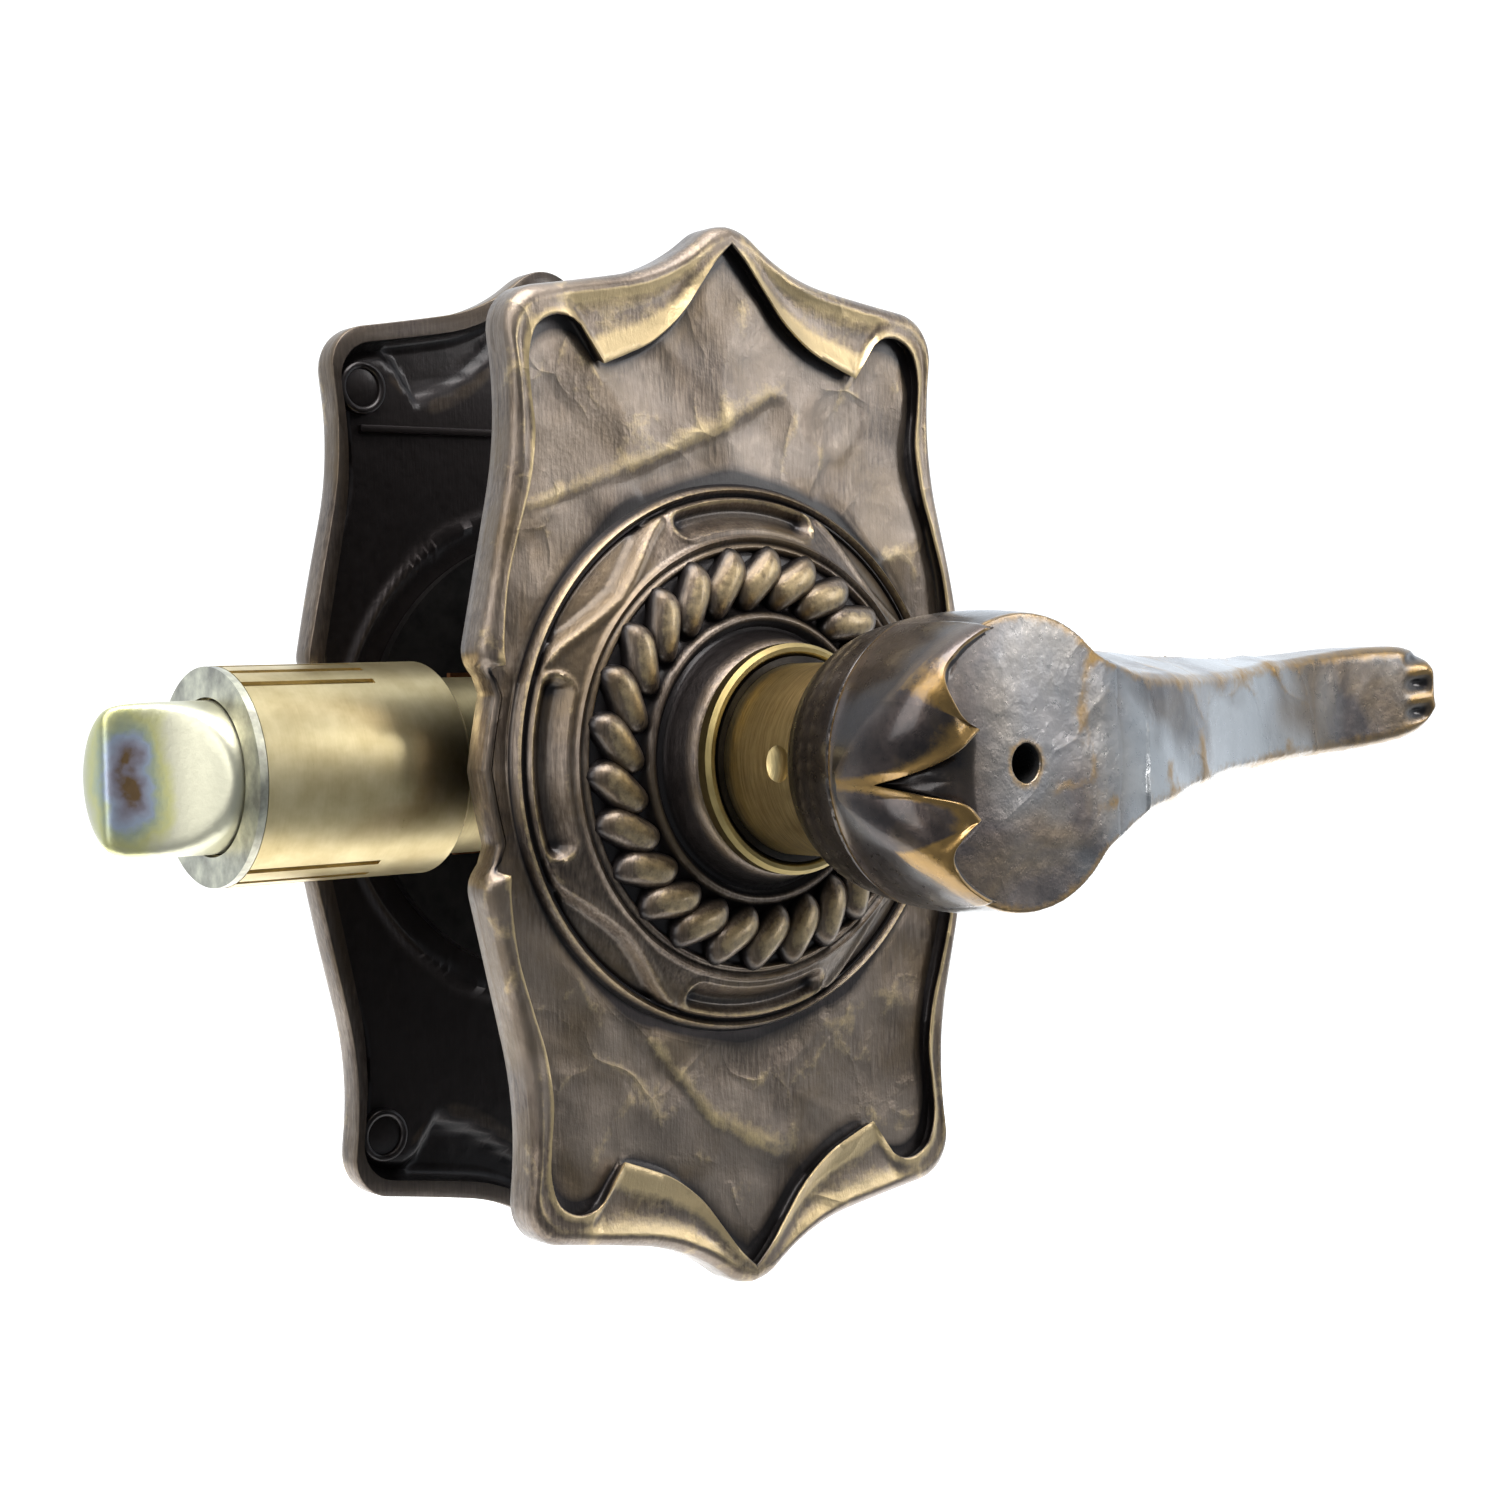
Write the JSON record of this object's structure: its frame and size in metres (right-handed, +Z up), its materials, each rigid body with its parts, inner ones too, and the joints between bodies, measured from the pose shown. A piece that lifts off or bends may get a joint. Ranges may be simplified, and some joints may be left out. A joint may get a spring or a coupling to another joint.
{
  "type": "privacy lever set",
  "caption": "Privacy lever set for an interior door: two lever handles on full decorative plates, a spring latch and a push-button lock.",
  "frame": {"origin": "where the spindle axis crosses the middle plane of the door, which is also on the latch axis", "axes": "+Y from the outside trim to the inside trim, -X out of the door's edge along the latch, +X along the lever arms, +Z up"},
  "size_m": [0.1568, 0.147, 0.128],
  "materials": {
    "plate_bronze": "satin antique bronze, worn to gold on the crests",
    "lever_bronze": "satin antique bronze, worn to gold on the crests",
    "shank_brass": "brushed olive brass",
    "ring_brass": "satin pale brass",
    "collar_brass": "satin drawn brass",
    "face_steel": "satin steel",
    "barrel_zinc": "yellow zinc plate",
    "case_copper": "copper-coloured plate",
    "bolt_zinc": "iridescent yellow zinc plate",
    "works_steel": "bright zinc plate",
    "spring_steel": "drawn spring wire"
  },
  "bodies": {
    "fixed_trim": {"outside_escutcheon": "plate_bronze", "outside_ring_nut": "ring_brass", "outside_chassis": "works_steel", "outside_return_spring": "spring_steel", "inside_escutcheon": "plate_bronze", "inside_ring_nut": "ring_brass", "inside_chassis": "works_steel", "inside_return_spring": "spring_steel", "outside_posts": "works_steel", "mounting_screws": "works_steel", "lock_bracket": "works_steel", "latch_collar": "collar_brass", "latch_face_ring": "face_steel", "latch_barrel": "barrel_zinc", "latch_case": "case_copper", "case_spacer": "case_copper", "bolt_spring": "spring_steel"},
    "outside_lever": {"outside_lever": "lever_bronze", "outside_shank": "shank_brass", "outside_set_screw": "works_steel", "outside_spring_driver": "works_steel", "outside_snap_ring": "spring_steel", "spindle": "works_steel"},
    "inside_lever": {"inside_lever": "lever_bronze", "inside_shank": "shank_brass", "inside_set_screw": "works_steel", "inside_spring_driver": "works_steel", "inside_snap_ring": "spring_steel", "button_spring": "spring_steel"},
    "privacy_button": {"privacy_button": "lever_bronze", "lock_rod": "works_steel"},
    "latch_cam": {"latch_cam": "works_steel"},
    "latch_bolt": {"latch_bolt": "bolt_zinc", "draw_bar": "works_steel", "draw_pin": "works_steel"}
  },
  "joints": [
    {"name": "outside_lever_turn", "type": "hinge", "parent": "fixed_trim", "child": "outside_lever", "pos_m": [0, 0, 0], "axis": [0, 1, 0], "range_deg": [0, 62], "stiffness_Nm_per_rad": 0.25, "springref_deg": -45.84, "deforming": ["outside_return_spring"]},
    {"name": "inside_lever_turn", "type": "hinge", "parent": "fixed_trim", "child": "inside_lever", "pos_m": [0, 0, 0], "axis": [0, 1, 0], "range_deg": [0, 62], "stiffness_Nm_per_rad": 0.25, "springref_deg": -45.84, "deforming": ["inside_return_spring"]},
    {"name": "latch_cam_turn", "type": "hinge", "parent": "fixed_trim", "child": "latch_cam", "pos_m": [0, 0, 0], "axis": [0, 1, 0], "range_deg": [0, 62]},
    {"name": "bolt_slide", "type": "slide", "parent": "fixed_trim", "child": "latch_bolt", "axis": [1, 0, 0], "range_m": [0, 0.01165], "stiffness_N_per_m": 150, "springref_m": -0.006, "deforming": ["bolt_spring"]},
    {"name": "button_push", "type": "slide", "parent": "inside_lever", "child": "privacy_button", "axis": [0, -1, 0], "range_m": [0, 0.004], "stiffness_N_per_m": 300, "springref_m": -0.004, "deforming": ["button_spring"]}
  ],
  "couplings": [
    {"joint": "inside_lever_turn", "follows": "outside_lever_turn", "ratio": 1},
    {"joint": "latch_cam_turn", "follows": "outside_lever_turn", "ratio": 1},
    {"joint": "bolt_slide", "follows": "outside_lever_turn", "m_per_rad": 0.010757}
  ]
}
